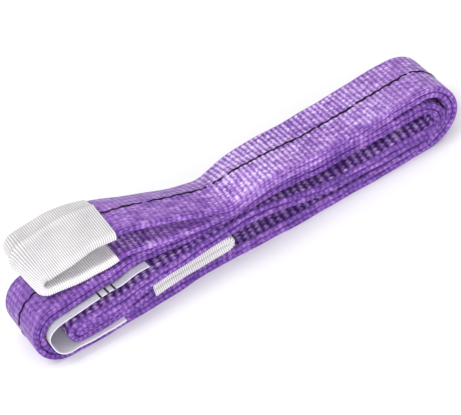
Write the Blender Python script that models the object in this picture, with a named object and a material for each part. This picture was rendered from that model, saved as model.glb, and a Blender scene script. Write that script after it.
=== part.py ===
"""A two-ply flat web sling, wound up into a hank with one soft eye left free on top.

The hank lies along X with its two bends at the ends. The free eye is at the -X end, the wider faces are up,
and the front edges of the webbing face -Y. All sizes are in metres.
"""

import bpy
import numpy as np

for old in list(bpy.data.objects):
    bpy.data.objects.remove(old)
bpy.context.scene.unit_settings.scale_length = 1.0

# The webbing and the hank
WEBBING_WIDTH = 0.030
PLY_THICKNESS = 0.0025
PLY_GAP = 0.0003
STRAND_GAP = 0.0003
HANK_LENGTH = 0.2105

# The eyes and their sleeves
EYE_LENGTH = 0.0865
EYE_OPENING = 0.0135
EYE_TIP_RADIUS = 0.0057
EYE_YAW = 0.0098
ROOT_GAP = 0.0006
FOLD_GAP = 0.0004
SLEEVE_LENGTH = 0.0390
SLEEVE_CLOTH = 0.00040
SLEEVE_CLEARANCE = 0.00012

# The label and the tracer yarn
LABEL_WIDTH = 0.028
LABEL_THICKNESS = 0.0008
LABEL_FORWARD = 0.0040
LABEL_ON_FLOOR = 0.016
TRACER_WIDTH = 0.0010
TRACER_THICKNESS = 0.0004
TRACER_SUNK = 0.00005
GROOVE_CLEARANCE = 0.0003

# Heights and places that follow from the sizes
STACK = 2 * PLY_THICKNESS + PLY_GAP
SLEEVED_PLY = PLY_THICKNESS + 2 * (SLEEVE_CLEARANCE + SLEEVE_CLOTH)
LEFT = -HANK_LENGTH / 2
RIGHT = HANK_LENGTH / 2
ROOT_X = LEFT + 0.457 * HANK_LENGTH
INNER_TIP_X = LEFT + 0.4425 * HANK_LENGTH
FLOOR_STRAND_TOP = STACK + STRAND_GAP
MM = 0.001


def blend_stops(stops, x):
    """The value at x on a smooth curve through stops, which are (share of the hank's length, value)."""
    at = LEFT + HANK_LENGTH * np.array([s[0] for s in stops])
    value = np.array([s[1] for s in stops], float)
    slope = np.gradient(value, at)
    i = np.clip(np.searchsorted(at, x) - 1, 0, len(at) - 2)
    step = at[i + 1] - at[i]
    t = np.clip((x - at[i]) / step, 0, 1)
    start = value[i] * (2 * t**3 - 3 * t**2 + 1) + slope[i] * step * (t**3 - 2 * t**2 + t)
    return start + value[i + 1] * (3 * t**2 - 2 * t**3) + slope[i + 1] * step * (t**3 - t**2)


def ease(x, start, end):
    """0 before start, 1 after end, and smooth between."""
    t = np.clip((x - start) / (end - start), 0, 1)
    return t * t * (3 - 2 * t)


# The height of each strand's middle surface. Each lies on the one below, with some air between them.
def floor_height(x):
    return STACK / 2 + 0 * x


def sleeve_share(x, before=0.016):
    """0 where the inner eye is bare and 1 where it wears its sleeve. It starts to thicken before the sleeve."""
    mouth = INNER_TIP_X - SLEEVE_LENGTH
    return ease(x, mouth - before, mouth - 0.004)


def inner_eye_height(x):
    label_end = 1 - ease(x, LEFT + 0.16 * HANK_LENGTH, LEFT + 0.22 * HANK_LENGTH)
    bare, sleeved = STACK / 2, SLEEVED_PLY + STRAND_GAP / 2
    half = bare + (sleeved + 0.15 * MM - bare) * sleeve_share(x)
    return FLOOR_STRAND_TOP + half + (LABEL_THICKNESS + STRAND_GAP) * label_end


def third_height(x):
    on_eye = 1 - ease(x, INNER_TIP_X + 0.006, INNER_TIP_X + 0.055)
    lying = FLOOR_STRAND_TOP + STACK / 2
    air = blend_stops([(0.08, 0.7), (0.2, 0.5), (0.457, 0.8), (0.7, 1.6), (1, 1.0)], x) * MM
    eye_top = inner_eye_height(np.minimum(x, INNER_TIP_X)) + SLEEVED_PLY + STRAND_GAP / 2 + STRAND_GAP + STACK / 2
    low_eye_top = inner_eye_height(x) + STACK / 2 + STRAND_GAP + STACK / 2
    sleeved = sleeve_share(x, 0.030)
    on_top = low_eye_top * (1 - sleeved) + eye_top * sleeved
    return lying * (1 - on_eye) + on_top * on_eye + air


def second_height(x):
    air = blend_stops([(0.07, 1.6), (0.15, 2.4), (0.24, 3.2), (0.36, 1.6), (0.457, 0.5), (0.6, 2.6), (1, 3.2)], x)
    return third_height(x) + STACK + STRAND_GAP + air * MM


def top_height(x):
    air = blend_stops([(0.457, 0.9), (0.55, 0.9), (0.65, 0.6), (1, 1.2)], x) * MM
    return second_height(x) + STACK + STRAND_GAP + air


# How far each strand has slipped sideways, in millimetres, and how far it leans back, in degrees.
SIDEWAYS = {
    "top": [(0.457, -5.5), (0.55, -3.5), (0.65, -1.0), (0.8, -0.3), (1, 0.0)],
    "floor": [(0, -4.0), (0.15, -4.5), (0.3, -3.0), (0.4, -1.6), (0.5, -2.5), (1, -2.5)],
    "second": [(0, -3.8), (0.15, -1.6), (0.3, -1.2), (0.42, -2.6), (0.65, 0.0), (1, 1.0)],
    "third": [(0, -8.0), (0.25, -8.0), (0.4, -7.0), (0.5, -5.0), (0.67, -3.5), (1, -4.0)],
    "inner_eye": [(0, -7.5), (0.22, -6.7), (0.4, -3.5), (0.46, -3.0)],
}
LEAN_BACK = {
    "top": [(0.457, 7.0), (0.55, 6.0), (0.68, 1.0), (1, 0.0)],
    "second": [(0.3, 0.0), (0.457, 4.5), (0.6, 4.0), (0.72, 0.5), (1, 0.0)],
    "third": [(0.3, 0.0), (0.457, 2.0), (0.6, 2.0), (0.72, 0.0), (1, 0.0)],
}


def strand(name, height, start, end, steps):
    """Points (x, y, z, lean) along one strand of the hank."""
    x = np.linspace(start, end, steps)
    y = blend_stops(SIDEWAYS[name], x) * MM
    lean = blend_stops(LEAN_BACK[name], x) if name in LEAN_BACK else 0 * x
    return np.stack([x, y, height(x), np.radians(lean)], axis=1)


def bend(first, last, reach, steps, set_in=0.0):
    """Points round an end of the hank, between the strand that ends at first and the one that starts at last.

    reach is how far the bend stands out from first, and set_in is how much further in from the end last lies.
    """
    t = np.linspace(0, 1, steps + 2)[1:-1, None]
    out = np.array([4 / 3 * reach, 0, 0, 0])
    more = np.array([4 / 3 * set_in, 0, 0, 0])
    a, b, c, d = first, first + out, last + out + more, last
    return (1 - t) ** 3 * a + 3 * (1 - t) ** 2 * t * b + 3 * (1 - t) * t**2 * c + t**3 * d


def frames(path):
    """The points of a ribbon's path, and its across and face directions. Across stays level unless the ribbon leans."""
    points = path[:, :3]
    along = np.gradient(points, axis=0) * [1, 0, 1]
    along[[0, -1]] *= [1, 0, 0]  # both ends are cut square to the hank
    along /= np.linalg.norm(along, axis=1)[:, None]
    level = np.array([[0.0, 1.0, 0.0]])
    face = np.cross(along, level)
    lean = path[:, 3:4] * np.sign(face[:, 2:3] + 1e-9)
    return points, level * np.cos(lean) - face * np.sin(lean), face * np.cos(lean) + level * np.sin(lean)


PARTS = {}


def material(name, colour, roughness):
    made = bpy.data.materials.new(name)
    made.use_nodes = True
    shader = made.node_tree.nodes["Principled BSDF"]
    shader.inputs["Base Color"].default_value = (*colour, 1)
    shader.inputs["Roughness"].default_value = roughness
    return made


def sweep(name, path, section, colour, roughness=0.8, hole=None, crown=None):
    """A closed solid: section, a ring of (across, out) points, carried along path. hole is a second ring for a tube.

    crown, one (back, front) pair of drops for each point of the path, bends the section's two halves down.
    """
    points, across, face = frames(path)
    rings = [np.array(section, float)] + ([np.array(hole, float)] if hole else [])
    n = len(points)
    vertices, faces, starts = [], [], []
    for ring in rings:
        starts.append(sum(len(v) for v in vertices))
        wide = ring[:, 0][None, :] * np.ones((n, 1))
        out = ring[:, 1][None, :] * np.ones((n, 1))
        if crown is not None:
            share = wide / (WEBBING_WIDTH / 2)
            out = out - crown[:, :1] * np.clip(share, 0, 2) + crown[:, 1:] * np.clip(share, -2, 0)
        ring_points = points[:, None] + across[:, None] * wide[..., None] + face[:, None] * out[..., None]
        vertices.append(ring_points.reshape(-1, 3))
    for ring, start, inside in zip(rings, starts, (False, True)):
        k = len(ring)
        for i in range(n - 1):
            for j in range(k):
                a, b = start + i * k + j, start + i * k + (j + 1) % k
                for triangle in ([a, b, b + k], [a, b + k, a + k]):
                    faces.append(triangle[::-1] if inside else triangle)
    k = len(rings[0])
    for i, last in ((0, False), (n - 1, True)):
        ring = list(range(starts[0] + i * k, starts[0] + i * k + k))
        if not hole:
            faces.append(ring if last else ring[::-1])
            continue
        for j in range(k):
            quad = [ring[j], ring[(j + 1) % k], ring[(j + 1) % k] + n * k, ring[j] + n * k]
            faces.append(quad if last else quad[::-1])
    PARTS[name] = (np.concatenate(vertices), faces, colour, roughness)


def flat_section(width, thickness, middle=0.0, grooved=False):
    """A ring round a flat strip, from its back edge to its front edge above and back again below."""
    half, high, low = width / 2, middle + thickness / 2, middle - thickness / 2
    near = TRACER_WIDTH / 2 + GROOVE_CLEARANCE
    deep = high - TRACER_THICKNESS - GROOVE_CLEARANCE
    groove = [(near, deep), (-near, deep)] if grooved else []
    above = [(half, high), (near, high)] + groove + [(-near, high), (-half, high)]
    return above + [(-half, low), (-near, low), (near, low), (half, low)]


VIOLET = (0.27, 0.11, 0.55)
DEEP_VIOLET = (0.20, 0.07, 0.46)
WHITE = (0.80, 0.79, 0.76)
BLACK = (0.02, 0.02, 0.02)

# The body: one path through the strands, in the order in which the sling was wound up.
RIGHT_BEND_X = RIGHT - 0.0150
FLOOR_SET_IN = 0.010
LEFT_BEND_X = LEFT + 0.0140
INNER_RIGHT_X = RIGHT - 0.0180
INNER_LEFT_X = LEFT + 0.0200
top = strand("top", top_height, ROOT_X, RIGHT_BEND_X, 16)
floor = strand("floor", floor_height, RIGHT_BEND_X - FLOOR_SET_IN, LEFT_BEND_X, 6)
second = strand("second", second_height, LEFT_BEND_X, INNER_RIGHT_X, 26)
third = strand("third", third_height, INNER_RIGHT_X, INNER_LEFT_X, 26)
right_bend = bend(top[-1], floor[0], 0.0122, 15, set_in=FLOOR_SET_IN)
left_bend = bend(floor[-1], second[0], -0.0112, 15)
inner_right_bend = bend(second[-1], third[0], 0.0080, 15)
body = np.concatenate([top, right_bend, floor, left_bend, second, inner_right_bend, third])

PLY_OFFSET = (PLY_THICKNESS + PLY_GAP) / 2


def tracer_section(middle):
    """A ring round the tracer yarn, which lies just below the face of a ply whose middle is at middle."""
    high = middle + PLY_THICKNESS / 2 - TRACER_SUNK
    low = high - TRACER_THICKNESS
    half = TRACER_WIDTH / 2
    return [(half, high), (-half, high), (-half, low), (half, low)]


sweep("body_outer_ply", body, flat_section(WEBBING_WIDTH, PLY_THICKNESS, PLY_OFFSET, True), VIOLET)
sweep("body_inner_ply", body, flat_section(WEBBING_WIDTH, PLY_THICKNESS, -PLY_OFFSET), DEEP_VIOLET)
sweep("body_tracer_yarn", body, tracer_section(PLY_OFFSET), BLACK, 0.6)


def shifted(path, out):
    """The path moved out along the ribbon's face, by one distance or by one for each point."""
    points, _, face = frames(path)
    moved = path.copy()
    moved[:, :3] = points + face * np.reshape(out * np.ones(len(path)), (-1, 1))
    return moved


def eye(name, path, sleeve_start, sleeve_end, crown):
    """One soft eye: the single ply, the tracer yarn in its outer face and the white sleeve round its tip."""
    sweep(name + "_loop", path, flat_section(WEBBING_WIDTH, PLY_THICKNESS, 0, True), VIOLET, crown=crown)
    sweep(name + "_tracer_yarn", path, tracer_section(0), BLACK, 0.6, crown=crown)
    inside = flat_section(WEBBING_WIDTH + 2 * SLEEVE_CLEARANCE, PLY_THICKNESS + 2 * SLEEVE_CLEARANCE)
    outside = flat_section(WEBBING_WIDTH + SLEEVED_PLY - PLY_THICKNESS, SLEEVED_PLY)
    covered = slice(sleeve_start, sleeve_end)
    sweep(name + "_sleeve", path[covered], outside, WHITE, 0.9, hole=inside, crown=crown[covered])


# The inner eye folds back at the left end and lies closed between the floor strand and the third strand.
LEG_GAP = SLEEVED_PLY - PLY_THICKNESS + STRAND_GAP
fold_end = strand("inner_eye", inner_eye_height, INNER_LEFT_X, INNER_TIP_X, 34)
fold = bend(third[-1], fold_end[0], -0.0036, 13)
eye_middle = np.concatenate([third[-1:] - [FOLD_GAP, 0, 0, 0], fold, fold_end[:-2]])
folded = 1 + len(fold)
sleeved = sleeve_share(eye_middle[:, 0])
sleeved[:folded] = 0
half_gap = PLY_OFFSET + (LEG_GAP - PLY_GAP) / 2 * sleeved
leg_out = shifted(eye_middle, half_gap)
leg_back = shifted(eye_middle, -half_gap)[::-1]
tip = bend(leg_out[-1], leg_back[0], 0.0030, 9)
inner_path = np.concatenate([leg_out, tip, leg_back])
start = folded + int(np.argmax(leg_out[folded:, 0] > INNER_TIP_X - SLEEVE_LENGTH))
eye("inner_eye", inner_path, start, len(inner_path) - start, np.zeros((len(inner_path), 2)))

# The outer eye stands free on top. Its lower leg rests on the second strand and its upper leg arches over it.
EYE_TIP_X = ROOT_X - EYE_LENGTH
LEG_END_X = EYE_TIP_X + EYE_TIP_RADIUS + 0.0020
root_height = float(top_height(np.array(ROOT_X)))


def eye_share(x):
    """0 at the eye's root and 1 at its tip."""
    return (ROOT_X - x) / EYE_LENGTH


def eye_leg(height, lean_stops, steps):
    x = np.linspace(ROOT_X - ROOT_GAP, LEG_END_X, steps)
    share = eye_share(x)
    y = blend_stops(SIDEWAYS["top"], ROOT_X + 0 * x) * MM + EYE_YAW * share
    lean = np.interp(share, [s[0] for s in lean_stops], [s[1] for s in lean_stops])
    return np.stack([x, y, height(x, share), np.radians(lean)], axis=1)


def lower_leg_height(x, share):
    lying = second_height(x) + STACK / 2 + STRAND_GAP + SLEEVED_PLY / 2 + 0.0006
    lifted = 0.0020 * ease(share, 0.75, 1.0)
    on_root = 1 - ease(share, 0.02, 0.35)
    return (root_height - PLY_OFFSET) * on_root + (lying + lifted) * (1 - on_root)


def upper_leg_height(x, share):
    rise = EYE_OPENING * ease(share, -0.10, 0.68) - 0.0040 * ease(share, 0.68, 1.0)
    return root_height + PLY_OFFSET + rise - EYE_OPENING * ease(0.0, -0.10, 0.68)


lower = eye_leg(lower_leg_height, [(0, 7), (0.4, 2), (0.6, 0), (1, 0)], 22)
upper = eye_leg(upper_leg_height, [(0, 7), (0.4, 4), (0.55, 0), (0.75, -4), (1, -2)], 22)[::-1]
outer_tip = bend(lower[-1], upper[0], -EYE_TIP_RADIUS, 11)
outer_path = np.concatenate([lower, outer_tip, upper])
upper_share = eye_share(upper[:, 0])
back_drop = 0.0036 * ease(upper_share, 0.0, 0.15) * (1 - 0.8 * ease(upper_share, 0.3, 0.9))
crown = np.zeros((len(outer_path), 2))
crown[-len(upper):, 0] = back_drop
crown[-len(upper):, 1] = 0.2 * back_drop
start = int(np.argmax(lower[:, 0] < EYE_TIP_X + SLEEVE_LENGTH))
eye("outer_eye", outer_path, start, len(outer_path) - start, crown)

# The label is sewn in behind the left bend. It lies along the inner side of the bend, a little forward of it.
label_start = strand("floor", floor_height, LEFT_BEND_X + LABEL_ON_FLOOR, LEFT_BEND_X, 4)
left_turn = np.concatenate([label_start, left_bend, second[:7]])
label_path = shifted(left_turn, -(STACK / 2 + STRAND_GAP + LABEL_THICKNESS / 2))
label_path[:, 1] -= LABEL_FORWARD
sweep("label", label_path, flat_section(LABEL_WIDTH, LABEL_THICKNESS), WHITE, 0.7)


def finish():
    """Puts the origin at the middle of the bottom of the whole object's box, and makes the objects."""
    everything = np.concatenate([part[0] for part in PARTS.values()])
    low, high = everything.min(axis=0), everything.max(axis=0)
    shift = np.array([(low[0] + high[0]) / 2, (low[1] + high[1]) / 2, low[2]])
    for name, (vertices, faces, colour, roughness) in PARTS.items():
        mesh = bpy.data.meshes.new(name)
        mesh.from_pydata((vertices - shift).tolist(), [], faces)
        mesh.materials.append(material(name, colour, roughness))
        bpy.context.collection.objects.link(bpy.data.objects.new(name, mesh))


finish()
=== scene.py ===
"""The looks of a flat web sling, wound up into a hank with one soft eye left free on top.

The webbing is two plies of violet polyester with a black tracer yarn down the middle. Each eye wears
a white ribbed sleeve, and a white label is sewn in at the left bend. Routes are in millimetres until
their mesh is made.
"""

import bpy
import numpy as np
from mathutils import Matrix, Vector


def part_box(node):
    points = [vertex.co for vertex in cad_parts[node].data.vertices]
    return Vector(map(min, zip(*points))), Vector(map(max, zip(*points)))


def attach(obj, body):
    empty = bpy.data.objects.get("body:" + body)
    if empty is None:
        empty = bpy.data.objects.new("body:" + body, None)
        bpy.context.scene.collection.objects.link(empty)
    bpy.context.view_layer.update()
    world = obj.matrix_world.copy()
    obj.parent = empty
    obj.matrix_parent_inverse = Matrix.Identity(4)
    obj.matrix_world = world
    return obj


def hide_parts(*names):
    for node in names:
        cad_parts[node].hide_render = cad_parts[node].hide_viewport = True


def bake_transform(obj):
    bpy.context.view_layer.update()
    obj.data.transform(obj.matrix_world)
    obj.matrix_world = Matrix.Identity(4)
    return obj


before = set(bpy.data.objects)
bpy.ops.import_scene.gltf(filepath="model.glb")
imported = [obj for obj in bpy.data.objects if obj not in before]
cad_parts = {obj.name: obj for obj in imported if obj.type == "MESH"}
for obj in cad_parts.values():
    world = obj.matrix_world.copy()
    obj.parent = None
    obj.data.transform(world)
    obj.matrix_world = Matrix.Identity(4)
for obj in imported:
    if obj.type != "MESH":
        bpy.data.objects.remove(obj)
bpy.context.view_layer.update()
MM = 0.001


# THE LIE OF THE HANK
# Each strand lies on the one below it, with a little air between them, so the strands' heights are
# worked out from the floor up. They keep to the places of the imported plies.
ply_low, ply_high = (np.array(corner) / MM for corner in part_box("body_outer_ply"))
LEFT, RIGHT = ply_low[0], ply_high[0]
LENGTH = RIGHT - LEFT
FRONT_TO_MIDDLE = 23.15
BACKSET = ply_low[1] + FRONT_TO_MIDDLE
WIDTH = 30.0
PLY = 2.5
PLY_GAP = 0.3
STRAND_GAP = 0.3
SLEEVE_CLOTH = 0.52
LABEL_CLOTH = 0.8
STACK = 2 * PLY + PLY_GAP
PLY_OFFSET = (PLY + PLY_GAP) / 2
SLEEVED = PLY + 2 * SLEEVE_CLOTH
FLOOR_TOP = STACK + STRAND_GAP
ROOT_X = LEFT + 0.457 * LENGTH
INNER_TIP_X = LEFT + 0.4425 * LENGTH
INNER_MOUTH_X = INNER_TIP_X - 38
STEP = 0.45


def through(stops, x):
    """The value at x on a smooth curve through stops, which are (share of the hank's length, value).

    Each stretch is a cubic with the slopes of its neighbours at both ends.
    """
    at = LEFT + LENGTH * np.array([s[0] for s in stops])
    value = np.array([s[1] for s in stops], float)
    slope = np.gradient(value, at)
    i = np.clip(np.searchsorted(at, x) - 1, 0, len(at) - 2)
    step = at[i + 1] - at[i]
    t = np.clip((x - at[i]) / step, 0, 1)
    start = value[i] * (2 * t**3 - 3 * t**2 + 1) + slope[i] * step * (t**3 - 2 * t**2 + t)
    return start + value[i + 1] * (3 * t**2 - 2 * t**3) + slope[i + 1] * step * (t**3 - t**2)


def ease(x, start, end):
    """0 before start, 1 after end, and smooth between."""
    t = np.clip((x - start) / (end - start), 0, 1)
    return t * t * (3 - 2 * t)


def wander(t, seed):
    """A slow irregular wave between -1 and 1: the mean of three sines whose phases the seed sets."""
    return (np.sin(0.61 * t + seed) + np.sin(1.13 * t + 2.3 * seed) + np.sin(1.97 * t + 4.1 * seed)) / 3


def floor_height(x):
    return STACK / 2 + 0 * x


def inner_eye_height(x):
    label_end = 1 - ease(x, LEFT + 0.16 * LENGTH, LEFT + 0.22 * LENGTH)
    bare, sleeved = STACK / 2, SLEEVED + STRAND_GAP / 2
    half = bare + (sleeved + 0.15 - bare) * ease(x, INNER_MOUTH_X - 16, INNER_MOUTH_X - 4)
    return FLOOR_TOP + half + (LABEL_CLOTH + STRAND_GAP) * label_end


def third_height(x):
    on_eye = 1 - ease(x, INNER_TIP_X + 6, INNER_TIP_X + 55)
    lying = FLOOR_TOP + STACK / 2
    air = through([(0.08, 0.7), (0.2, 0.5), (0.457, 0.8), (0.7, 1.6), (1, 1.0)], x)
    eye_top = inner_eye_height(np.minimum(x, INNER_TIP_X)) + SLEEVED + STRAND_GAP * 1.5 + STACK / 2
    low_eye_top = inner_eye_height(x) + STACK + STRAND_GAP
    sleeved = ease(x, INNER_MOUTH_X - 30, INNER_MOUTH_X - 4)
    return lying * (1 - on_eye) + (low_eye_top * (1 - sleeved) + eye_top * sleeved) * on_eye + air


def second_height(x):
    air = [(0.07, 1.6), (0.15, 2.4), (0.24, 3.2), (0.36, 1.6), (0.457, 0.5), (0.6, 2.6), (1, 3.2)]
    return third_height(x) + STACK + STRAND_GAP + through(air, x)


def top_height(x):
    air = [(0.457, 0.9), (0.55, 0.9), (0.65, 0.6), (1, 1.2)]
    return second_height(x) + STACK + STRAND_GAP + through(air, x)


# How each strand lies: its height, its sideways slip in millimetres, its backward lean in degrees, and how
# far its back and front edges drop below its middle. Relief is the ribs' depth. The last entry is painted
# light: the top strand is drawn lighter near the root, a painted highlight where its sheen catches the
# lamps.
LIE = {
    "top": {
        "height": top_height,
        "slip": [(0.457, -5.5), (0.55, -3.5), (0.65, -1.0), (0.8, 0.0), (0.9, 1.4), (1, 2.4)],
        "lean": [(0.457, 7.0), (0.55, 6.0), (0.68, 1.0), (1, 0.0)],
        "back": [(0.457, 3.6), (0.5, 2.0), (0.56, 0.6), (0.7, 0.2), (1, 0.0)],
        "front": [(0.457, 4.2), (0.5, 3.6), (0.56, 1.8), (0.64, 0.6), (0.75, 0.2), (1, 0.0)],
        "relief": [(0.457, 0.9), (0.62, 1.0), (0.75, 0.85), (0.88, 0.6), (1, 0.3)],
        "painted_light_and_tone": [(0.457, 0.08), (0.5, 0.22), (0.56, 0.24), (0.63, 0.17), (0.8, 0.15), (1, 0.06)],
    },
    "floor": {
        "height": floor_height,
        "slip": [(0, -4.0), (0.15, -4.5), (0.3, -3.0), (0.4, -1.6), (0.5, -2.5), (1, -2.5)],
    },
    "second": {
        "height": second_height,
        "slip": [(0, -3.8), (0.15, -1.6), (0.3, -1.2), (0.42, -2.6), (0.65, 0.0), (1, 1.0)],
        "lean": [(0.3, 0.0), (0.457, 4.5), (0.6, 4.0), (0.72, 0.5), (1, 0.0)],
        "front": [(0, 0.0), (0.3, 0.4), (0.42, 2.0), (0.48, 2.2), (0.58, 0.8), (0.68, 0.0), (1, 0.0)],
        "relief": [(0, 0.35), (0.12, 0.5), (0.25, 1.0), (1, 1.0)],
    },
    "third": {
        "height": third_height,
        "slip": [(0, -8.0), (0.25, -8.0), (0.4, -7.0), (0.5, -5.0), (0.67, -3.5), (1, -4.0)],
        "lean": [(0.3, 0.0), (0.457, 2.0), (0.6, 2.0), (0.72, 0.0), (1, 0.0)],
        "front": [(0, 0.0), (0.2, 0.0), (0.3, 1.4), (0.457, 1.5), (0.56, 0.5), (0.65, 0.0), (1, 0.0)],
    },
    "inner_eye": {
        "height": inner_eye_height,
        "slip": [(0, -7.5), (0.2, -6.2), (0.3, -3.0), (0.4, -2.0), (0.46, -1.6)],
    },
}
X, Y, Z, LEAN, BACK, FRONT, RELIEF, PAINTED_LIGHT_AND_TONE = range(8)
CREASE = RELIEF


def strand(name, start, end, steps=160):
    """Points along one strand, each with its place, lean, edge drops, relief, and the painted light and
    shade added to its colour.
    """
    lie = LIE[name]
    x = np.linspace(start, end, steps)
    level = [(0, 0.0), (1, 0.0)]
    full = [(0, 1.0), (1, 1.0)]
    lean = np.radians(through(lie.get("lean", level), x))
    drops = [through(lie.get(side, level), x) for side in ("back", "front")]
    look = [through(lie.get("relief", full), x), through(lie.get("painted_light_and_tone", level), x)]
    return np.stack([x, through(lie["slip"], x) + BACKSET, lie["height"](x), lean, *drops, *look], axis=1)


def bend(first, last, reach, set_in=0.0, steps=90):
    """Points round an end of the hank, from first out by reach and back to last.

    They lie on a cubic curve. Its handles are four thirds of the reach long, so that its middle stands out
    from first by the reach. set_in is how much further in last lies than first, and last's handle is longer
    by four thirds of that.
    """
    t = np.linspace(0, 1, steps + 2)[1:-1, None]
    out, more = np.zeros(8), np.zeros(8)
    out[X] = 4 / 3 * reach
    more[X] = 4 / 3 * set_in
    a, b, c, d = first, first + out, last + out + more, last
    return (1 - t) ** 3 * a + 3 * (1 - t) ** 2 * t * b + 3 * (1 - t) * t**2 * c + t**3 * d


def travelled(points):
    """The distance along points from the first of them."""
    return np.concatenate([[0], np.cumsum(np.linalg.norm(np.diff(points[:, :3], axis=0), axis=1))])


def even(path, step=STEP):
    """The same route in even steps, with the corners between its stretches smoothed over nine steps."""
    far = travelled(path)
    at = np.linspace(0, far[-1], int(far[-1] / step) + 1)
    steps = np.stack([np.interp(at, far, column) for column in path.T], axis=1)
    window = np.hanning(11)[1:-1]
    window /= window.sum()
    reach = len(window) // 2
    before = 2 * steps[:1] - steps[reach:0:-1]
    after = 2 * steps[-1:] - steps[-2:-reach - 2:-1]
    padded = np.concatenate([before, steps, after])
    return np.stack([np.convolve(column, window, "valid") for column in padded.T], axis=1)


def frames(path):
    """The points of a route, and the directions across the webbing and out of its face.

    Across stays level, apart from the lean.
    """
    points = path[:, :3]
    along = np.gradient(points, axis=0) * [1, 0, 1]
    along /= np.linalg.norm(along, axis=1)[:, None]
    level = np.array([[0.0, 1.0, 0.0]])
    face = np.cross(along, level)
    lean = path[:, LEAN:LEAN + 1] * np.tanh(4 * face[:, 2:3])
    return points, level * np.cos(lean) - face * np.sin(lean), face * np.cos(lean) + level * np.sin(lean)


def shifted(path, out):
    """The route moved out along the webbing's face, by one distance or by one for each point."""
    points, _, face = frames(path)
    moved = path.copy()
    moved[:, :3] = points + face * np.reshape(out * np.ones(len(path)), (-1, 1))
    return moved


top = strand("top", ROOT_X, RIGHT - 15)
floor_strand = strand("floor", RIGHT - 25, LEFT + 14)
second = strand("second", LEFT + 14, RIGHT - 18)
third = strand("third", RIGHT - 18, LEFT + 20)
right_bend = bend(top[-1], floor_strand[0], 12.2, set_in=10)
left_bend = bend(floor_strand[-1], second[0], -11.2)
inner_right_bend = bend(second[-1], third[0], 8.0)
# The left bend has shallow ribs and is drawn a little darker.
left_bend[:, RELIEF] = 0.3
left_bend[:, PAINTED_LIGHT_AND_TONE] = -0.04

# The inner eye's root is EYE_TAIL points before the third strand's end. Its two legs run on to the left
# from there, fold back, and lie closed between the floor strand and the third strand.
EYE_TAIL = 60
fold_end = strand("inner_eye", LEFT + 20, INNER_TIP_X - 2)
fold = bend(third[-1], fold_end[0], -3.6)
eye_middle = even(np.concatenate([third[-EYE_TAIL:], fold, fold_end]))
in_fold = np.arange(len(eye_middle)) < np.argmin(eye_middle[:, X]) + 8
eye_opens = ease(eye_middle[:, X], INNER_MOUTH_X - 16, INNER_MOUTH_X - 4) * ~in_fold
half_gap = PLY_OFFSET + (SLEEVED - STACK / 2) / 2 * eye_opens
inner_leg_out = shifted(eye_middle, half_gap)
inner_leg_back = shifted(eye_middle, -half_gap)

# The outer eye stands free. Its lower leg rests on the second strand and its upper leg arches over it.
EYE_LENGTH = 86.5
EYE_OPENING = 13.5
EYE_YAW = 9.8
TIP_RADIUS = 5.7
EYE_TIP_X = ROOT_X - EYE_LENGTH
LEG_END_X = EYE_TIP_X + TIP_RADIUS + 2
root = top[0]


def eye_leg(height, lean, back, front, relief, painted_light_and_tone, steps=160):
    """Points of one leg of the outer eye, from its root to the start of its tip.

    Each list holds (share of the eye's length, value).
    """
    x = np.linspace(ROOT_X, LEG_END_X, steps)
    share = (ROOT_X - x) / EYE_LENGTH
    columns = [np.interp(share, *zip(*stops)) for stops in (lean, back, front, relief, painted_light_and_tone)]
    y = root[Y] + EYE_YAW * share
    return np.stack([x, y, height(x, share), np.radians(columns[0]), *columns[1:]], axis=1)


def lower_leg_height(x, share):
    lying = second_height(x) + STACK / 2 + STRAND_GAP + SLEEVED / 2 + 0.6
    on_root = 1 - ease(share, 0.02, 0.35)
    return (root[Z] - PLY_OFFSET) * on_root + (lying + 2.0 * ease(share, 0.75, 1.0)) * (1 - on_root)


def upper_leg_height(x, share):
    rise = EYE_OPENING * (ease(share, -0.10, 0.68) - ease(0.0, -0.10, 0.68)) - 4.0 * ease(share, 0.68, 1.0)
    return root[Z] + PLY_OFFSET + rise


# Painted light: the lower leg is drawn lighter all along, lifting it out of the shade under the upper leg,
# and both legs start as light as the top strand's painted highlight at the root.
lower_leg = eye_leg(
    lower_leg_height,
    lean=[(0, 7), (0.4, 2), (0.6, 0), (1, 0)],
    back=[(0, 3.6), (0.3, 2.4), (0.5, 0.5), (1, 0)],
    front=[(0, 4.2), (0.15, 3.8), (0.35, 2.4), (0.55, 0.6), (1, 0)],
    relief=[(0, 0.25), (0.2, 0.3), (0.45, 1.0), (1, 1.0)],
    painted_light_and_tone=[(0, 0.08), (0.4, 0.12), (1, 0.12)],
)
upper_leg = eye_leg(
    upper_leg_height,
    lean=[(0, 7), (0.4, 4), (0.55, 0), (0.75, -4), (1, -2)],
    back=[(0, 3.6), (0.15, 4.2), (0.5, 3.0), (0.9, 1.0), (1, 0)],
    front=[(0, 3.4), (0.12, 2.4), (0.3, 1.2), (0.5, 0.8), (0.65, 1.0), (0.8, 2.8), (1, 2.4)],
    relief=[(0, 0.6), (0.12, 0.4), (0.3, 0.22), (1, 0.2)],
    painted_light_and_tone=[(0, 0.08), (0.15, 0.0), (1, 0.0)],
)


# THE WEBBING
# Heavy polyester webbing, woven so that its warp ends float over each pick of weft in cross ribs. The
# outer ply and the inner ply are sewn together along the body, and each runs on into one leg of the eyes.
OUTER_PITCH = 2.3
INNER_PITCH = 3.4
WARP_PITCH = 1.25
RIB_DEPTH = 0.32
EDGE_DEPTH = 0.16
RIB_POWER = 0.8
STAGGER = 0.05
FLUFF = 0.2
OUTER_SLANT = 0.006
INNER_SLANT = 0.035
EDGE_RELIEF = 0.45
INNER_RELIEF = 1.45
# How much darker the edges are drawn, and the under-lit inner face as painted shade.
EDGE_SHADE = -0.13
INNER_SHADE = -0.03


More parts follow.
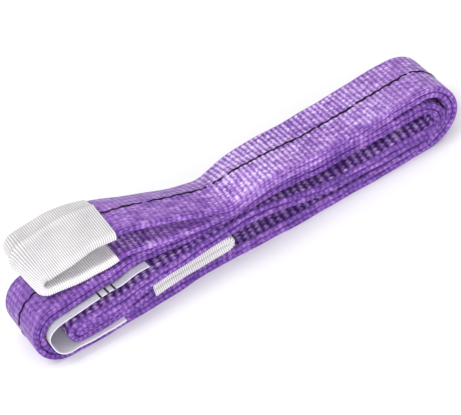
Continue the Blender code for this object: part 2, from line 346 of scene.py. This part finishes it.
def skin(name, rows, loop=False):
    """A closed mesh through rows, an (n, k, 3) array in millimetres of n rings of k points each.

    The rings join side by side and the two end rings are capped, or join each other if loop is set.
    """
    n, k, _ = rows.shape
    i = np.arange(n if loop else n - 1)[:, None]
    j = np.arange(k)[None]
    here, after = i * k, (i + 1) % n * k
    quads = np.stack([here + j, here + (j + 1) % k, after + (j + 1) % k, after + j], axis=-1).reshape(-1, 4)
    faces = quads.tolist()
    points = rows.reshape(-1, 3)
    corner = points[quads]
    turned = np.cross(corner[:, 1], corner[:, 2]) + np.cross(corner[:, 2], corner[:, 3])
    volume = np.einsum("ij,ij->i", corner[:, 0], turned)
    if not loop:
        faces += [list(range(k))[::-1], list(range((n - 1) * k, n * k))]
    mesh = bpy.data.meshes.new(name)
    mesh.from_pydata(points * MM, [], faces)
    mesh.shade_smooth()
    if volume.sum() < 0:
        mesh.flip_normals()
    if not loop:
        ends = np.empty(2 * len(mesh.edges), int)
        mesh.edges.foreach_get("vertices", ends)
        ends = ends.reshape(-1, 2) // k
        rim = (ends[:, 0] == ends[:, 1]) & ((ends[:, 0] == 0) | (ends[:, 0] == n - 1))
        sharp = mesh.attributes.new("sharp_edge", "BOOLEAN", "EDGE")
        sharp.data.foreach_set("value", rim)
    obj = bpy.data.objects.new(name, mesh)
    bpy.context.collection.objects.link(obj)
    return obj


def note(obj, name, values):
    """Stores a number or a vector for each point of obj, which its material reads by name."""
    kind = "FLOAT_VECTOR" if values.shape[-1] == 3 and values.ndim == 3 else "FLOAT"
    layer = obj.data.attributes.new(name, kind, "POINT")
    field = "vector" if kind == "FLOAT_VECTOR" else "value"
    layer.data.foreach_set(field, values.astype(np.float32).ravel())


def ring_points(half, thick, above, below, round_steps=7):
    """A ring round a flat band: across, out, the way out of its surface, and which side each point is on.

    It runs over the outer face from back to front, round the front edge, and back under the inner face.
    The edges are blunt: their cosine and sine are raised to a power below 1.
    """
    r = thick / 2
    flat = half - r
    turn = np.linspace(np.pi / 2, 3 * np.pi / 2, round_steps + 2)[1:-1]
    bulge = r * np.abs(np.cos(turn)) ** 0.65
    fall = r * np.sign(np.sin(turn)) * np.abs(np.sin(turn)) ** 0.65
    across = np.concatenate([
        np.linspace(flat, -flat, above), -flat - bulge, np.linspace(-flat, flat, below), flat + bulge,
    ])
    out = np.concatenate([np.full(above, r), fall, np.full(below, -r), -fall])
    way = np.stack([across - np.clip(across, -flat, flat), out], axis=1)
    way /= np.linalg.norm(way, axis=1)[:, None]
    side = np.concatenate([np.full(above, 1), 0 * turn, np.full(below, -1), 0 * turn])
    return across, out, way, side


def crowned(path, across):
    """How far each point of a ring drops below the middle of the webbing.

    It is the edge's drop times the share of the way to that edge, raised to the power 1.5.
    """
    share = across[None, :] / (WIDTH / 2)
    back_drop = path[:, BACK:BACK + 1] * np.clip(share, 0, 2) ** 1.5
    front_drop = path[:, FRONT:FRONT + 1] * np.clip(-share, 0, 2) ** 1.5
    return back_drop + front_drop


def placed(points, across_way, face, wide, high):
    """The rings' points: each route point moved wide across the webbing and high out of its face."""
    return points[:, None] + across_way[:, None] * wide[..., None] + face[:, None] * high[..., None]


def ply(name, path, seed, above, below, nodes):
    """One ply of webbing along path, with above and below points across its two faces.

    The ribs rise and fall as a cosine of the way along, made blunter by RIB_POWER, and a cosine across the
    warp ends makes them lower between the ends. Their phase is staggered from one end to the next.
    """
    path = even(path)
    points, across_way, face = frames(path)
    far = travelled(points)[:, None]
    across, out, way, side = ring_points(WIDTH / 2, PLY + FLUFF, above, below)
    warp = ((across + np.where(side == 0, out, 0)) / WARP_PITCH)[None, :]
    pitch = np.where(side < 0, INNER_PITCH, OUTER_PITCH)[None, :]
    slant = np.where(side < 0, INNER_SLANT, OUTER_SLANT)[None, :] * across[None, :]
    ribs = far / pitch + slant + 0.25 * wander(far / 9 + across[None, :] / 14, seed)
    rise = (0.5 + 0.5 * np.cos(2 * np.pi * (ribs + STAGGER * np.cos(np.pi * warp)))) ** RIB_POWER
    crest = 0.6 + 0.2 * (1 + np.cos(2 * np.pi * warp))
    outer_relief = path[:, RELIEF:RELIEF + 1] * (1 + 0.018 * across[None, :])
    relief = np.where(side == 0, EDGE_RELIEF, np.where(side < 0, INNER_RELIEF, outer_relief))
    depth = np.where(side == 0, EDGE_DEPTH, RIB_DEPTH) * relief
    lift = depth * (rise * crest - 0.9)
    wide = across[None, :] + way[:, 0] * lift + 0.35 * wander(far / 6, seed + 1)
    high = out[None, :] + way[:, 1] * lift - crowned(path, across)
    obj = skin(name, placed(points, across_way, face, wide, high))
    note(obj, "weave", np.stack(np.broadcast_arrays(ribs, warp, relief), axis=-1))
    # Painted shade: the inner face is drawn a little darker because it lies under-lit, and the edges are
    # drawn darker too. The clouds are a slow random change in lightness.
    edge_shade = np.where(side == 0, EDGE_SHADE, np.where(side < 0, INNER_SHADE, 0.0))[None, :]
    clouds = 0.05 * wander(far / 11 + across[None, :] / 20, seed + 2)
    note(obj, "painted_light_and_tone", path[:, PAINTED_LIGHT_AND_TONE:PAINTED_LIGHT_AND_TONE + 1] + edge_shade + clouds)
    obj.data.materials.append(webbing)
    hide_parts(*nodes)
    return obj


def graph(material):
    """Short ways to add nodes to a material: one for a maths node, and one for any other."""
    tree = material.node_tree

    def plug(socket, value):
        if isinstance(value, bpy.types.NodeSocket):
            tree.links.new(value, socket)
        else:
            socket.default_value = value

    def add(kind, inputs=(), **settings):
        node = tree.nodes.new(kind)
        for key, value in settings.items():
            setattr(node, key, value)
        for key, value in dict(inputs).items():
            plug(node.inputs[key], value)
        return node

    def calc(operation, *values):
        node = add("ShaderNodeMath", operation=operation)
        for socket, value in zip(node.inputs, values):
            plug(socket, value)
        return node.outputs[0]

    return add, calc


def new_material(name):
    made = bpy.data.materials.new(name)
    made.use_nodes = True
    return made, made.node_tree.nodes["Principled BSDF"]


def ramp(add, value, stops):
    """The output of a colour ramp with (place, linear colour) stops."""
    node = add("ShaderNodeValToRGB", {"Fac": value})
    elements = node.color_ramp.elements
    while len(elements) < len(stops):
        elements.new(0.5)
    for element, (place, colour) in zip(elements, stops):
        element.position = place
        element.color = (*colour, 1)
    return node.outputs["Color"]


def webbing_material():
    """Violet polyester: lighter floats on the ribs and deep violet between them, partly the weave and
    partly a painted highlight on the shiny crests and painted shade in the valleys, and fine filaments.

    The value that picks the colour is the ribs times the warp ends' crests, with a chance step for each
    float that is partly a painted sparkle of highlights, and fine and broad noise on top.
    """
    material, shader = new_material("violet_webbing")
    add, calc = graph(material)
    weave = add("ShaderNodeAttribute", attribute_name="weave").outputs["Vector"]
    painted_light_and_tone = add("ShaderNodeAttribute", attribute_name="painted_light_and_tone").outputs["Fac"]
    ribs, warp, relief = add("ShaderNodeSeparateXYZ", {"Vector": weave}).outputs
    shift = calc("MULTIPLY", calc("COSINE", calc("MULTIPLY", warp, np.pi)), STAGGER)
    staggered = calc("ADD", ribs, shift)
    wave = calc("MULTIPLY_ADD", calc("COSINE", calc("MULTIPLY", staggered, 2 * np.pi)), 0.5, 0.5)
    rise = calc("POWER", wave, RIB_POWER)
    crest = calc("MULTIPLY_ADD", calc("COSINE", calc("MULTIPLY", warp, 2 * np.pi)), 0.24, 0.70)
    pattern = calc("MULTIPLY", rise, crest)
    cell = add("ShaderNodeCombineXYZ", {"X": calc("ROUND", staggered), "Y": calc("ROUND", warp)}).outputs[0]
    chance = add("ShaderNodeTexWhiteNoise", {"Vector": cell}, noise_dimensions="2D").outputs["Value"]

    def noise(rib_scale, warp_scale, detail):
        stretched = {"X": calc("MULTIPLY", ribs, rib_scale), "Y": calc("MULTIPLY", warp, warp_scale)}
        spot = add("ShaderNodeCombineXYZ", stretched).outputs[0]
        return add("ShaderNodeTexNoise", {"Vector": spot, "Scale": 1.0, "Detail": detail}).outputs["Fac"]

    fibre = noise(1.1, 2.6, 3.0)
    patch = noise(0.33, 0.55, 1.0)
    contrast = calc("MULTIPLY_ADD", relief, 0.52, 0.10)
    value = calc("MULTIPLY_ADD", calc("SUBTRACT", pattern, 0.40), contrast, 0.48)
    value = calc("MULTIPLY_ADD", calc("SUBTRACT", chance, 0.5), calc("MULTIPLY", contrast, 0.50), value)
    value = calc("MULTIPLY_ADD", calc("SUBTRACT", fibre, 0.5), 1.20, value)
    value = calc("MULTIPLY_ADD", calc("SUBTRACT", patch, 0.5), 0.70, value)
    # Adds the painted light and shade carried with each point, with its slow random clouds.
    value = calc("ADD", value, painted_light_and_tone)
    # The lightest, near-white stops are painted highlight on the shiny floats, and the darkest are partly
    # painted shade in the valleys between ribs.
    colour = ramp(add, value, [
        (0.0, (0.040, 0.010, 0.120)),
        (0.25, (0.105, 0.030, 0.260)),
        (0.52, (0.250, 0.103, 0.430)),
        (0.78, (0.440, 0.260, 0.640)),
        (1.0, (0.760, 0.630, 0.880)),
    ])
    height = calc("MULTIPLY_ADD", fibre, 0.35, calc("MULTIPLY", pattern, contrast))
    bump = add("ShaderNodeBump", {"Height": height, "Strength": 0.55, "Distance": 0.0004})
    tree = material.node_tree
    tree.links.new(colour, shader.inputs["Base Color"])
    tree.links.new(bump.outputs[0], shader.inputs["Normal"])
    shader.inputs["Roughness"].default_value = 0.48
    shader.inputs["Specular IOR Level"].default_value = 0.3
    shader.inputs["Sheen Weight"].default_value = 0.1
    shader.inputs["Sheen Roughness"].default_value = 0.4
    return material


webbing = webbing_material()
body = np.concatenate([top, right_bend, floor_strand, left_bend, second, inner_right_bend, third])

# Each ply is drawn in three lengths, which meet end to end on the floor strand and on the second strand.
# These are the points from a strand's start to the join on it, and the points left out at the root.
JOIN_ON_FLOOR = 24
JOIN_ON_SECOND = 95
ROOT_TRIM = 3
after_bend = len(top) + len(right_bend) + JOIN_ON_FLOOR
in_second = len(top) + len(right_bend) + len(floor_strand) + len(left_bend) + JOIN_ON_SECOND

for name, offset, leg, leg_in, faces, nodes in (
    ("outer", PLY_OFFSET, upper_leg, inner_leg_out, (66, 40), ("body_outer_ply", "outer_eye_loop")),
    ("inner", -PLY_OFFSET, lower_leg, inner_leg_back, (66, 66), ("body_inner_ply", "outer_eye_loop")),
):
    route = shifted(body, offset)
    eye_part = leg[::-1][:-ROOT_TRIM]
    over = np.concatenate([eye_part, route[ROOT_TRIM:after_bend]])
    first = ply(name + "_ply_top", over, 1.0 + offset, *faces, nodes)
    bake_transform(first)
    shown = (66, 12) if offset > 0 else (12, 66)
    ply_node = "body_" + name + "_ply"
    lower = ply(name + "_ply_floor", route[after_bend - 1:in_second], 5.0 + offset, *shown, (ply_node,))
    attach(lower, "hank")
    inside = np.concatenate([route[in_second - 1:-EYE_TAIL], leg_in])
    upper = ply(name + "_ply_inside", inside, 9.0 + offset, 50, 50, (ply_node, "inner_eye_loop"))
    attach(upper, "hank")


# THE TRACER YARN
# One black warp yarn in the middle of the outer face. It floats over the ribs in long stitches and dips
# out of sight for a moment between them.
YARN_WIDTH = 1.3
YARN_HALF_HEIGHT = 0.28
STITCH = 23.0
DIP_DEPTH = 0.55
PRESSED_IN = 0.5


def yarn_material():
    """Black polyester yarn with a twist."""
    material, shader = new_material("black_yarn")
    add, calc = graph(material)
    place = add("ShaderNodeTexCoord").outputs["Object"]
    grain = add("ShaderNodeTexNoise", {"Vector": place, "Scale": 4000.0}).outputs["Fac"]
    colour = ramp(add, grain, [(0.35, (0.004, 0.003, 0.005)), (0.75, (0.020, 0.016, 0.026))])
    material.node_tree.links.new(colour, shader.inputs["Base Color"])
    shader.inputs["Roughness"].default_value = 0.7
    shader.inputs["Specular IOR Level"].default_value = 0.1
    return material


black_yarn = yarn_material()


def yarn(name, path, seed, node, proud=0.16):
    """The yarn along path: an oval ring of 10 points, which sways over the ribs and dips below them.

    proud is how far its middle stands above the ply's face. It is pressed in where the face is turned down
    to the floor.
    """
    path = even(path)
    points, across_way, face = frames(path)
    far = travelled(points)
    turn = np.linspace(0, 2 * np.pi, 11)[:-1]
    thick = 0.75 + 0.35 * wander(far / 1.3, seed)
    sway = 0.26 * np.sin(2 * np.pi * far / (2 * OUTER_PITCH)) + 0.35 * wander(far / 4, seed)
    dip = DIP_DEPTH * ease(np.sin(2 * np.pi * far / STITCH + 2.0 * wander(far / 9, seed)), 0.97, 1.0)
    wide = sway[:, None] + YARN_WIDTH / 2 * thick[:, None] * np.cos(turn)
    pressed = PRESSED_IN * ease(-face[:, 2], 0.6, 0.95)
    high = PLY / 2 + proud - (dip + pressed)[:, None] + YARN_HALF_HEIGHT * thick[:, None] * np.sin(turn)
    obj = skin(name, placed(points, across_way, face, wide, high))
    obj.data.materials.append(black_yarn)
    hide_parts(node)
    return obj


outer_route = shifted(body, PLY_OFFSET)
top_yarn = yarn("tracer_yarn_top", outer_route[ROOT_TRIM:after_bend], 2.0, "body_tracer_yarn")
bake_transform(top_yarn)
floor_yarn = yarn("tracer_yarn_floor", outer_route[after_bend:in_second], 3.0, "body_tracer_yarn")
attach(floor_yarn, "hank")
inner_yarn = yarn("tracer_yarn_inside", outer_route[in_second:], 4.0, "body_tracer_yarn", -0.15)
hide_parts("inner_eye_tracer_yarn")
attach(inner_yarn, "hank")
eye_yarn = yarn("tracer_yarn_eye", upper_leg[::-1][:-ROOT_TRIM], 6.0, "outer_eye_tracer_yarn")
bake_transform(eye_yarn)


# THE EYE SLEEVES
# A flat tube of white polyester with fine cross ribs, slipped over each eye to keep the hook from wearing
# it. It is a little wider than the webbing and open at both mouths.
SLEEVE_PITCH = 0.95
SLEEVE_WALL = 0.4
SLEEVE_EASE = 0.9


def sleeve_material():
    """White ribbed cloth: bright ribs, greyer valleys, and a fine twill along each rib."""
    material, shader = new_material("white_sleeve_cloth")
    add, calc = graph(material)
    weave = add("ShaderNodeAttribute", attribute_name="weave").outputs["Vector"]
    ribs, warp, painted_light_lift = add("ShaderNodeSeparateXYZ", {"Vector": weave}).outputs
    slanted = calc("MULTIPLY_ADD", warp, 0.5, ribs)
    wave = calc("MULTIPLY_ADD", calc("COSINE", calc("MULTIPLY", ribs, 2 * np.pi)), 0.5, 0.5)
    twill = calc("MULTIPLY_ADD", calc("COSINE", calc("MULTIPLY", slanted, 4 * np.pi)), 0.5, 0.5)
    place = add("ShaderNodeTexCoord").outputs["Object"]
    stain = add("ShaderNodeTexNoise", {"Vector": place, "Scale": 90.0, "Detail": 3.0}).outputs["Fac"]
    value = calc("MULTIPLY_ADD", twill, 0.18, calc("MULTIPLY", wave, 0.62))
    value = calc("MULTIPLY_ADD", stain, 0.35, value)
    # Painted light: lifts the eye's lower leg, which lies in shade under the upper leg.
    value = calc("ADD", painted_light_lift, value)
    colour = ramp(add, value, [
        (0.1, (0.27, 0.26, 0.27)),
        (0.50, (0.52, 0.50, 0.52)),
        (0.80, (0.68, 0.66, 0.68)),
        (1.0, (0.90, 0.88, 0.89)),
    ])
    height = calc("MULTIPLY_ADD", twill, 0.35, wave)
    bump = add("ShaderNodeBump", {"Height": height, "Strength": 0.5, "Distance": 0.0002})
    material.node_tree.links.new(colour, shader.inputs["Base Color"])
    material.node_tree.links.new(bump.outputs[0], shader.inputs["Normal"])
    shader.inputs["Roughness"].default_value = 0.85
    shader.inputs["Sheen Weight"].default_value = 0.3
    return material


sleeve_cloth = sleeve_material()


def sleeve(name, path, crease, slack, lower_leg_painted_light, node, body_name):
    """A tube of cloth round the ply on path, open at both mouths.

    Its rings go out along the tube and back inside it. crease is the height of the ridge a third of the way
    in from the back edge, slack is how much thicker the tube is inside than the ply, and lightness is
    painted
    light: how much lighter its first leg is drawn, to lift it out of the shade under the other leg.
    """
    path = even(path, 0.2)
    points, across_way, face = frames(path)
    far = travelled(points)[:, None]
    rows, notes = [], []
    for half, thick, inside in (
        (WIDTH / 2 + SLEEVE_EASE, PLY + slack + 2 * SLEEVE_WALL, False),
        (WIDTH / 2 + SLEEVE_EASE - SLEEVE_WALL, PLY + slack, True),
    ):
        across, out, way, side = ring_points(half, thick, 40, 40)
        ribs = (far + 0 * across[None, :]) / SLEEVE_PITCH
        lift = 0.06 * np.cos(2 * np.pi * ribs) * (not inside)
        ridge_shape = crease * np.exp(-np.abs((across[None, :] - 5.0) / 1.5)) * (side > 0)
        ridge = ridge_shape * ease(path[:, CREASE:CREASE + 1], 0, 1)
        wide = across[None, :] + way[:, 0] * lift + 0.15 * wander(far / 5, 3.0)
        high = out[None, :] + way[:, 1] * lift + ridge - crowned(path, across)
        high = high + 0.10 * wander(far / 4 + across[None, :] / 6, 1.0)
        ring = placed(points, across_way, face, wide, high)
        # Painted light: the first leg is drawn lighter up to two fifths of the way along, fading out by 55
        # per cent.
        painted_light_lift = lower_leg_painted_light * (1 - ease(far, 0.40 * far[-1], 0.55 * far[-1]))
        weave = np.stack(np.broadcast_arrays(ribs, across[None, :] / SLEEVE_PITCH, painted_light_lift), axis=-1)
        rows.append(ring[::-1] if inside else ring)
        notes.append(weave[::-1] if inside else weave)
    obj = skin(name, np.concatenate(rows), loop=True)
    note(obj, "weave", np.concatenate(notes))
    obj.data.materials.append(sleeve_cloth)
    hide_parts(node)
    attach(obj, body_name)
    return obj


outer_tip = bend(lower_leg[-1], upper_leg[-1], -TIP_RADIUS)
around = np.concatenate([lower_leg, outer_tip, upper_leg[::-1]])
LOWER_SLEEVE = 37.0
UPPER_SLEEVE = 39.5
lower_mouth = int(np.argmax(lower_leg[:, X] < EYE_TIP_X + LOWER_SLEEVE))
upper_mouth = int(np.argmax(upper_leg[:, X] < EYE_TIP_X + UPPER_SLEEVE))
outer_sleeve_path = around[lower_mouth:len(around) - upper_mouth].copy()
outer_sleeve_path[:, CREASE] = np.linspace(-1, 3, len(outer_sleeve_path)).clip(0, 1)
sleeve(
    "outer_eye_sleeve_cloth", outer_sleeve_path, 1.5, 0.8, 0.28,
    "outer_eye_sleeve", "outer_eye",
)

inner_tip = bend(inner_leg_out[-1], inner_leg_back[-1], 3.0)
inner_around = np.concatenate([inner_leg_out, inner_tip, inner_leg_back[::-1]])
past_fold = int(np.argmin(inner_leg_out[:, X]))
inner_mouth = past_fold + int(np.argmax(inner_leg_out[past_fold:, X] > INNER_MOUTH_X))
inner_sleeve_path = inner_around[inner_mouth:len(inner_around) - inner_mouth].copy()
inner_sleeve_path[:, CREASE] = 0
sleeve(
    "inner_eye_sleeve_cloth", inner_sleeve_path, 0.0, 0.35, 0.0,
    "inner_eye_sleeve", "hank",
)


# THE LABEL
# A long strip of coated tape, sewn in on the inner side of the left bend. It stands a little forward of
# the webbing's edge, where three printed strokes show on its upper leg.
LABEL_FORWARD = 5.5
LABEL_WIDTH = 28.0
LABEL_ON_FLOOR = 24
LABEL_ON_SECOND = 39
MARKS = (-72.3, -68.8, -65.6)
MARK_HALF_WIDTH = 0.45
MARK_LENGTH = 5.0
UPPER_LEG_Z = 12.0


def label_material():
    """Smooth white tape, slightly grey and creased, with three plain printed strokes at its front edge."""
    material, shader = new_material("label_tape")
    add, calc = graph(material)
    place_on_tape = add("ShaderNodeAttribute", attribute_name="weave").outputs["Vector"]
    along, across, level = add("ShaderNodeSeparateXYZ", {"Vector": place_on_tape}).outputs
    strokes = calc("COMPARE", along, MARKS[0], MARK_HALF_WIDTH)
    for mark in MARKS[1:]:
        strokes = calc("ADD", strokes, calc("COMPARE", along, mark, MARK_HALF_WIDTH))
    strokes = calc("MULTIPLY", strokes, calc("LESS_THAN", across, MARK_LENGTH - LABEL_WIDTH / 2))
    strokes = calc("MULTIPLY", strokes, calc("GREATER_THAN", level, UPPER_LEG_Z))
    place = add("ShaderNodeTexCoord").outputs["Object"]
    cloud = add("ShaderNodeTexNoise", {"Vector": place, "Scale": 60.0, "Detail": 4.0}).outputs["Fac"]
    fine = add("ShaderNodeTexNoise", {"Vector": place, "Scale": 1500.0, "Detail": 1.0}).outputs["Fac"]
    value = calc("MULTIPLY_ADD", fine, 0.25, calc("MULTIPLY", cloud, 0.75))
    value = calc("MAXIMUM", calc("SUBTRACT", value, strokes), 0.0)
    colour = ramp(add, value, [
        (0.0, (0.02, 0.02, 0.025)),
        (0.28, (0.55, 0.54, 0.60)),
        (0.7, (0.78, 0.77, 0.81)),
    ])
    bump = add("ShaderNodeBump", {"Height": fine, "Strength": 0.2, "Distance": 0.0001})
    material.node_tree.links.new(colour, shader.inputs["Base Color"])
    material.node_tree.links.new(bump.outputs[0], shader.inputs["Normal"])
    shader.inputs["Roughness"].default_value = 0.5
    return material


left_turn = np.concatenate([floor_strand[-LABEL_ON_FLOOR:], left_bend, second[:LABEL_ON_SECOND]])
label_path = even(shifted(left_turn, -(STACK / 2 + STRAND_GAP + LABEL_CLOTH / 2)), 0.5)
label_path[:, Y] -= LABEL_FORWARD
label_points, label_across, label_face = frames(label_path)
label_far = travelled(label_points)[:, None]
tape_across, tape_out, _, _ = ring_points(LABEL_WIDTH / 2, 0.5, 30, 30, 3)
tape_wide = tape_across[None, :] + 0.3 * wander(label_far / 7, 2.0)
edge_share = np.clip((-tape_across[None, :] - 6) / 8, 0, 1)
label_droop = 1.3 * edge_share ** 1.5 * ease(label_points[:, 2:], UPPER_LEG_Z, 17)
creases = 0.22 * wander(label_far / 3.5 + tape_across[None, :] / 9, 5.0)
tape_high = tape_out[None, :] - 0.12 + creases + label_droop
label = skin("sewn_label", placed(label_points, label_across, label_face, tape_wide, tape_high))
tape_place = np.broadcast_arrays(label_points[:, :1], tape_across[None, :], label_points[:, 2:])
note(label, "weave", np.stack(tape_place, axis=-1))
label.data.materials.append(label_material())
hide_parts("label")
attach(label, "hank")


# THE STUDIO
# A pale floor under an even white sky, with a soft lamp high on the left and a wide one low in front.
# The camera looks down from the front through a long lens.
def studio():
    """The floor, the sky and the two lamps, each of which points at the origin."""
    bpy.ops.mesh.primitive_plane_add(size=6)
    ground = bpy.context.object
    ground.name = "studio_floor"
    material, shader = new_material("studio_floor")
    shader.inputs["Base Color"].default_value = (0.95, 0.95, 0.95, 1)
    shader.inputs["Roughness"].default_value = 0.9
    ground.data.materials.append(material)
    world = bpy.data.worlds.new("sky")
    bpy.context.scene.world = world
    world.use_nodes = True
    world.node_tree.nodes["Background"].inputs["Color"].default_value = (1, 1, 1, 1)
    world.node_tree.nodes["Background"].inputs["Strength"].default_value = 0.90
    bpy.context.scene.view_settings.view_transform = "Standard"
    for name, place, size, power in (
        ("key", (-0.45, 0.10, 0.9), 0.4, 2.5),
        ("fill", (-0.3, -0.9, 0.30), 0.7, 6.0),
    ):
        lamp = bpy.data.lights.new(name, "AREA")
        lamp.size = size
        lamp.energy = power
        obj = bpy.data.objects.new(name, lamp)
        obj.location = place
        toward = -np.array(place)
        obj.rotation_mode = "QUATERNION"
        obj.rotation_quaternion = Matrix(look_axes(toward)).to_quaternion()
        bpy.context.collection.objects.link(obj)


def look_axes(toward):
    """The rotation that points -Z along toward and keeps +X level."""
    back = -toward / np.linalg.norm(toward)
    right = np.cross([0, 0, 1], back)
    right /= np.linalg.norm(right)
    return np.stack([right, np.cross(back, right), back], axis=1)


def camera():
    """A long lens, a little to the left and well above, rolled so that the hank rises to the right.

    The lens is as long as makes the view view_width wide at the distance of the hank.
    """
    azimuth, elevation, tilt = np.radians([17.0, 40.0, 29.3])
    distance = 1.0
    view_width = 195.339 * MM
    aim = np.array([0.0, 2.05, 12.0]) * MM
    off_centre = np.array([1.2712, 1.0593]) * MM
    right = np.array([np.cos(azimuth), -np.sin(azimuth), 0])
    level_back = np.array([-np.sin(azimuth), -np.cos(azimuth), 0])
    back = level_back * np.cos(elevation) + np.array([0, 0, np.sin(elevation)])
    up = np.cross(back, right)
    roll = tilt - np.arctan2(up[0], right[0])
    frame_right = right * np.cos(roll) - up * np.sin(roll)
    frame_up = right * np.sin(roll) + up * np.cos(roll)
    made = bpy.data.cameras.new("camera")
    made.sensor_width = 36
    made.lens = made.sensor_width * distance / view_width
    obj = bpy.data.objects.new("camera", made)
    place = aim + back * distance - frame_right * off_centre[0] - frame_up * off_centre[1]
    axes = Matrix(np.stack([frame_right, frame_up, back], axis=1)).to_4x4()
    obj.matrix_world = Matrix.Translation(place) @ axes
    bpy.context.collection.objects.link(obj)
    bpy.context.scene.camera = obj


studio()
camera()
